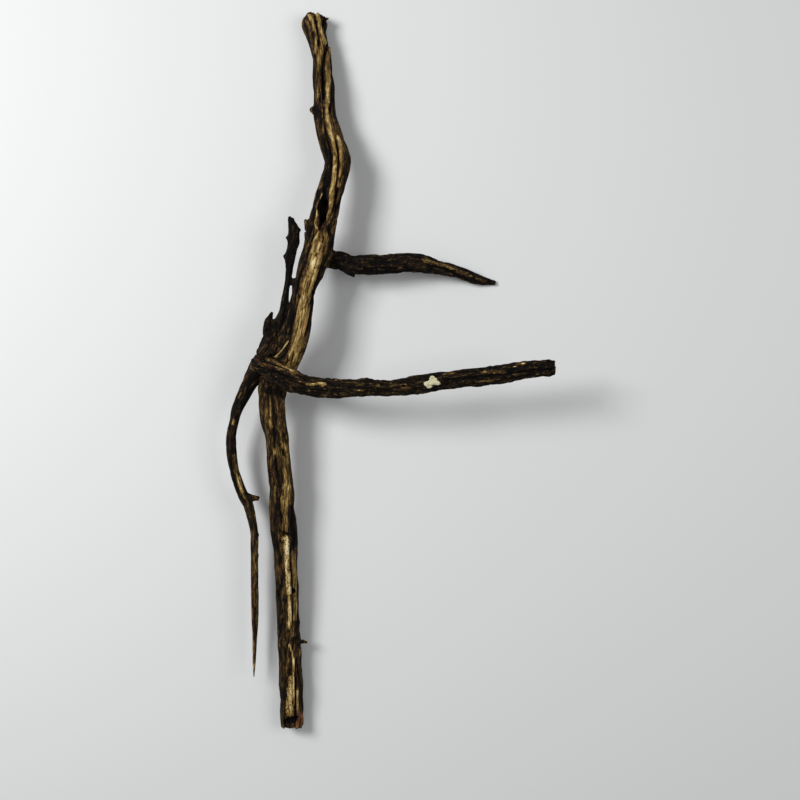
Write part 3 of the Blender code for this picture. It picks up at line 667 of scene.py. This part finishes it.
def nearness(seen, path, width):
    """1 on a path seen from above, falling to 0 at width from it, with the indices of the points that it holds for."""
    path = np.array(path, dtype=float)
    close = (seen > path.min(0) - width).all(1) & (seen < path.max(0) + width).all(1)
    index = np.flatnonzero(close)
    points = seen[index]
    best = np.full(len(points), 1e9)
    for a, b in zip(path, path[1:]):
        d = b - a
        share = np.clip(((points - a) @ d) / (d @ d), 0, 1)
        best = np.minimum(best, np.linalg.norm(points - a - share[:, None] * d, axis=1))
    return index, np.clip(1 - best / width, 0, 1)


def press_hollows(mesh, limbs):
    """Pushes the deep hollows into the plain wood, and gives it small even faces again."""
    points = get_points(mesh)
    places = Places(limbs, points, soft_normals(mesh, 3))
    for path, width, depth in HOLLOWS:
        index, near = nearness(places.seen, path, width)
        points[index, 2] -= depth * np.sqrt(1 - (1 - near) ** 2) * (near > 0) * (places.upper[index] > 0.8)
    set_points(mesh, points)
    return with_modifier(mesh, "REMESH", mode="VOXEL", voxel_size=LAST_VOXEL)


def furrows(places):
    """Height of the furrowed wood over its plain surface, and the painted shade of each point in its furrows and
    cracks.
    """
    grain = places.grain
    bends = [noise(grain, (16, 16, 45), 1), noise(grain, (16, 16, 45), 2), noise(grain, (16, 16, 45), 10)]
    bends = np.stack(bends, axis=1) * (2.4, 2.4, 8)
    twists = np.stack([noise(grain, (7, 7, 20), 11), noise(grain, (7, 7, 20), 12), np.zeros(len(grain))], axis=1)
    grain = grain + bends + 0.9 * twists
    strands = np.abs(noise(grain, (6.5, 6.5, 50), 3))
    fibres = np.abs(noise(grain, (2.7, 2.7, 22), 4))
    threads = noise(grain, (1.2, 1.2, 12), 5)
    swells = noise(grain, (12, 12, 26), 6)
    lumps = np.abs(noise(grain, (3.4, 3.4, 8), 9))
    split = np.abs(noise(grain, (7.5, 7.5, 50), 7))
    split_here = smoothstep(0.1, 0.45, noise(grain, (9, 9, 35), 8))
    cracks = (1 - smoothstep(0.0, 0.075, split)) * split_here
    share = np.clip(places.radius / FULL_RADIUS, 0.3, 1.1)
    clean = 1 - 0.5 * places.bark
    height = 3.2 * (strands ** 0.8 - 0.46) * clean + 1.6 * (fibres - 0.33) + 0.3 * threads
    height += 1.0 * swells - 2.2 * cracks + 2.0 * places.bark * (lumps - 0.35)
    height = np.minimum(height, 1.1)
    # Painted shade in the furrows, the cracks and between the bark's lumps
    dark = (1 - smoothstep(0.0, 0.17, strands)) * 0.8 + (1 - smoothstep(0.0, 0.13, fibres)) * 0.45 + cracks
    dark += places.bark * (1 - smoothstep(0.0, 0.2, lumps)) * 0.6
    return share * height, np.clip(dark, 0, 1), grain


def add_marks(places, rise, paint):
    """Raises, lowers and colours the wood along each mark."""
    for path, width, effects in MARKS:
        index, near = nearness(places.seen, path, width)
        near = near * places.upper[index]
        for name, value in effects.items():
            if name == "rise":
                rise[index] += value * smoothstep(0, 1, near)
            else:
                covered = value * smoothstep(0.0, 0.55, near)
                paint[name][index] = np.maximum(paint[name][index], covered)


def finish_wood(places):
    """Height of the wood over its plain surface, its grain, and the values that its colours are made from."""
    relief, dark, grain = furrows(places)
    rise = np.zeros(len(grain))
    paint = {name: np.zeros(len(grain)) for name in PAINTS}
    add_marks(places, rise, paint)
    hidden = 1 - places.upper
    patches = smoothstep(0.05, 0.5, noise(grain, (9, 9, 60), 20)) * (1 - 0.7 * places.bark)
    # Painted shade: the flanks and underside, turned away from the lights above, are darkened in noisy patches
    shadows = smoothstep(0.1, 0.5, noise(grain, (9, 9, 50), 21))
    paint["gold"] = np.maximum(paint["gold"], patches * (0.8 * hidden + 0.2 * places.upper))
    paint["dark_wood_and_shade"] = np.maximum(paint["dark_wood_and_shade"], shadows * hidden * 0.7)
    paint["rust"] = np.maximum(paint["rust"], smoothstep(0.25, 0.6, noise(grain, (6, 6, 40), 22)) * 0.5)
    worn = np.clip(paint["gold"] + paint["pale"], 0, 1)
    # Painted shade in the furrows, weaker where the wood is worn smooth
    paint["furrow"] = dark * (1 - 0.5 * worn)
    # Painted highlight and shade: raised wood is a little lighter and the furrows a little darker, by their height
    tone = places.tone + 0.06 * relief + sum(change * paint[name] for name, change in TONES.items())
    looks = {"tone": tone, "rust": paint["rust"], "lichen": paint["lichen"], "pits": paint["pits"], "bark": places.bark}
    rounding = CROTCH_REACH / 4 * np.clip(1 - places.second_gap / CROTCH_REACH, 0, 1) ** 2
    return relief * (1 - 0.4 * worn) + rise + rounding, grain, looks


def make_root(limbs):
    mesh = press_hollows(plain_wood(limbs), limbs)
    points = get_points(mesh)
    normals = soft_normals(mesh, 6)
    height, grain, looks = finish_wood(Places(limbs, points, normals))
    moved = points + normals * height[:, None]
    moved[:, 2] = np.maximum(moved[:, 2], 0)
    set_points(mesh, moved * MM)
    mesh.attributes.new("grain", "FLOAT_VECTOR", "POINT").data.foreach_set("vector", grain.ravel())
    for name, values in looks.items():
        mesh.attributes.new(name, "FLOAT", "POINT").data.foreach_set("value", values)
    print("plain faces", len(mesh.polygons))
    triangles = 2 * len(mesh.polygons)
    final = with_modifier(mesh, "DECIMATE", ratio=min(1, MOST_TRIANGLES / triangles))
    root = bpy.data.objects.new("root_wood", final)
    bpy.context.scene.collection.objects.link(root)
    return root


class Nodes:
    """Short calls that add shader nodes to one material."""

    def __init__(self, name):
        self.material = bpy.data.materials.new(name)
        self.material.use_nodes = True
        self.tree = self.material.node_tree
        self.shader = self.tree.nodes["Principled BSDF"]

    def add(self, kind, inputs, output, **settings):
        """A new node's output. Inputs go by name or place, as another node's output or as a plain value."""
        node = self.tree.nodes.new(kind)
        for name, value in settings.items():
            setattr(node, name, value)
        for key, value in inputs.items():
            if isinstance(value, bpy.types.NodeSocket):
                self.tree.links.new(value, node.inputs[key])
            else:
                node.inputs[key].default_value = value
        return node.outputs[output]

    def finish(self, output, name):
        self.tree.links.new(output, self.shader.inputs[name])

    def attribute(self, name, output="Fac"):
        return self.add("ShaderNodeAttribute", {}, output, attribute_name=name)

    def stretched(self, vector, across, along, shift=0.0):
        """The grain's coordinates in cells of the given sizes in millimetres."""
        scale = (1 / across, 1 / across, 1 / along)
        return self.add("ShaderNodeMapping", {"Vector": vector, "Scale": scale, "Location": (shift,) * 3}, "Vector")

    def noise(self, vector, detail, roughness):
        settings = {"Vector": vector, "Scale": 1.0, "Detail": detail, "Roughness": roughness}
        return self.add("ShaderNodeTexNoise", settings, "Fac")

    def math(self, operation, a, b=0.0):
        return self.add("ShaderNodeMath", {0: a, 1: b}, "Value", operation=operation)

    def total(self, first, *others):
        """The first value plus each of the others times its factor."""
        for value, factor in others:
            first = self.add("ShaderNodeMath", {0: value, 1: factor, 2: first}, "Value", operation="MULTIPLY_ADD")
        return first

    def step(self, value, low, high, to_low=0.0, to_high=1.0):
        ends = {"Value": value, "From Min": low, "From Max": high, "To Min": to_low, "To Max": to_high}
        return self.add("ShaderNodeMapRange", ends, "Result", interpolation_type="SMOOTHSTEP")

    def ramp(self, value, stops):
        """A colour for the value, between stops of (value, red, green, blue)."""
        node = self.tree.nodes.new("ShaderNodeValToRGB")
        elements = node.color_ramp.elements
        while len(elements) < len(stops):
            elements.new(1.0)
        for element, (at, *colour) in zip(elements, stops):
            element.position = at / stops[-1][0]
            element.color = (*colour, 1)
        self.tree.links.new(self.math("DIVIDE", value, stops[-1][0]), node.inputs["Fac"])
        return node.outputs["Color"]

    def mix(self, factor, a, b):
        """Colour a where factor is 0 and colour b where it is 1."""
        node = self.tree.nodes.new("ShaderNodeMixRGB")
        for socket, value in zip(node.inputs, (factor, a, b)):
            self.tree.links.new(value, socket)
        return node.outputs["Color"]


# Colours of the wood by its tone, as (tone, red, green, blue)
WOOD_TONES = [
    (0.00, 0.0020, 0.0014, 0.0010),
    (0.18, 0.0070, 0.0045, 0.0025),
    (0.36, 0.0270, 0.0150, 0.0055),
    (0.52, 0.0800, 0.0450, 0.0130),
    (0.68, 0.1900, 0.1120, 0.0290),
    (0.84, 0.3600, 0.2350, 0.0750),
    (1.00, 0.5600, 0.4300, 0.1900),
    (1.20, 0.7600, 0.6700, 0.4200),
]
RUST_TONES = [
    (0.00, 0.0030, 0.0012, 0.0010),
    (0.36, 0.0400, 0.0140, 0.0060),
    (0.68, 0.1700, 0.0700, 0.0240),
    (1.00, 0.4200, 0.2000, 0.0750),
]
LICHEN_TONES = [
    (0.00, 0.30, 0.26, 0.15),
    (0.50, 0.66, 0.61, 0.40),
    (1.00, 0.84, 0.81, 0.62),
]


def wood_material():
    n = Nodes("weathered_root_wood")
    grain = n.attribute("grain", "Vector")
    fibre = n.noise(n.stretched(grain, 1.5, 13), 5.0, 0.65)
    streak = n.noise(n.stretched(grain, 0.6, 5, 7.3), 4.0, 0.65)
    mottle = n.noise(n.stretched(grain, 4.0, 9, 3.1), 4.0, 0.7)
    fleck = n.noise(n.stretched(grain, 1.6, 3.4, 11.7), 3.0, 0.7)
    line = n.noise(n.stretched(grain, 1.5, 11, 21.4), 2.0, 0.5)
    check = n.step(n.math("ABSOLUTE", n.math("SUBTRACT", line, 0.5)), 0.03, 0.0)
    nick = n.noise(n.stretched(grain, 1.3, 3.2, 31.9), 2.0, 0.6)
    nick = n.step(nick, 0.62, 0.70)
    dull = n.step(n.attribute("tone"), 0.50, 0.85, 1.0, 0.45)
    # Painted shade in the fine cracks and nicks, which the bump also sinks
    shaded_cracks = n.math("MULTIPLY", n.total(n.math("MULTIPLY", check, 0.26), (nick, 0.32)), dull)
    # Painted shade inside the pits, which the bump also sinks
    dots = n.add("ShaderNodeTexVoronoi", {"Vector": n.stretched(grain, 1.2, 2.0, 5.0), "Scale": 1.0}, "Distance")
    pits = n.math("MULTIPLY", n.step(dots, 0.40, 0.26), n.attribute("pits"))
    chips = n.math("MULTIPLY", n.step(fleck, 0.57, 0.64), n.attribute("bark"))
    tone = n.total(n.attribute("tone"), (fibre, 1.2), (streak, 0.8), (mottle, 1.0), (chips, 0.40), (shaded_cracks, -1.0),
                   (pits, -1.0))
    tone = n.math("SUBTRACT", tone, 0.5 * (1.2 + 0.8 + 1.0))
    broken = n.total(n.attribute("rust"), (fibre, 1.0), (streak, 0.5))
    rusty = n.step(broken, 1.0, 1.6)
    wood = n.mix(rusty, n.ramp(tone, WOOD_TONES), n.ramp(tone, RUST_TONES))
    crust = n.step(n.total(n.attribute("lichen"), (fleck, 0.8)), 0.75, 0.9)
    wood = n.mix(crust, wood, n.ramp(fleck, LICHEN_TONES))
    n.finish(wood, "Base Color")
    n.finish(n.step(n.total(streak, (tone, -0.35)), 0.0, 0.6, 0.45, 0.85), "Roughness")
    relief = n.total(n.math("MULTIPLY", fibre, 1.2), (streak, 0.6), (mottle, 0.6), (shaded_cracks, -1.2), (pits, -0.8), (chips, 0.25), (crust, 0.4))
    n.finish(n.add("ShaderNodeBump", {"Strength": 0.8, "Distance": 0.0008, "Height": relief}, "Normal"), "Normal")
    n.shader.inputs["Specular IOR Level"].default_value = 0.1
    return n.material


def add_light(name, place, size, energy):
    data = bpy.data.lights.new(name, "AREA")
    data.size = size
    data.energy = energy
    light = bpy.data.objects.new(name, data)
    light.location = place
    light.rotation_euler = (-Vector(place)).to_track_quat("-Z", "Y").to_euler()
    light.visible_camera = False
    bpy.context.scene.collection.objects.link(light)


def add_stage():
    floor_mesh = bpy.data.meshes.new("floor")
    floor = bmesh.new()
    bmesh.ops.create_grid(floor, x_segments=1, y_segments=1, size=4.0)
    floor.to_mesh(floor_mesh)
    floor.free()
    floor_obj = bpy.data.objects.new("floor", floor_mesh)
    bpy.context.scene.collection.objects.link(floor_obj)
    material = bpy.data.materials.new("pale_floor")
    material.use_nodes = True
    shader = material.node_tree.nodes["Principled BSDF"]
    shader.inputs["Base Color"].default_value = (0.72, 0.73, 0.73, 1)
    shader.inputs["Roughness"].default_value = 0.9
    floor_mesh.materials.append(material)
    world = bpy.data.worlds.new("studio")
    world.use_nodes = True
    world.node_tree.nodes["Background"].inputs["Color"].default_value = (1, 1, 1, 1)
    world.node_tree.nodes["Background"].inputs["Strength"].default_value = 0.25
    bpy.context.scene.world = world
    add_light("key_softbox", (-1.0, 0.45, 1.2), 0.55, 21)
    add_light("fill_softbox", (1.0, 0.1, 1.3), 0.8, 6)


def add_camera():
    data = bpy.data.cameras.new("camera")
    data.lens = CAMERA_LENS
    data.sensor_width = 36
    camera = bpy.data.objects.new("camera", data)
    camera.location = CAMERA_PLACE
    bpy.context.scene.collection.objects.link(camera)
    bpy.context.scene.camera = camera
    bpy.context.scene.view_settings.view_transform = "Standard"


def main():
    limbs = [Limb(*facts) for facts in LIMBS]
    root = make_root(limbs)
    root.data.shade_smooth()
    root.data.materials.clear()
    root.data.materials.append(wood_material())
    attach(root, "root")
    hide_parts("spiderwood_root")
    print("triangles", sum(len(p.vertices) - 2 for p in root.data.polygons))
    add_stage()
    add_camera()


main()
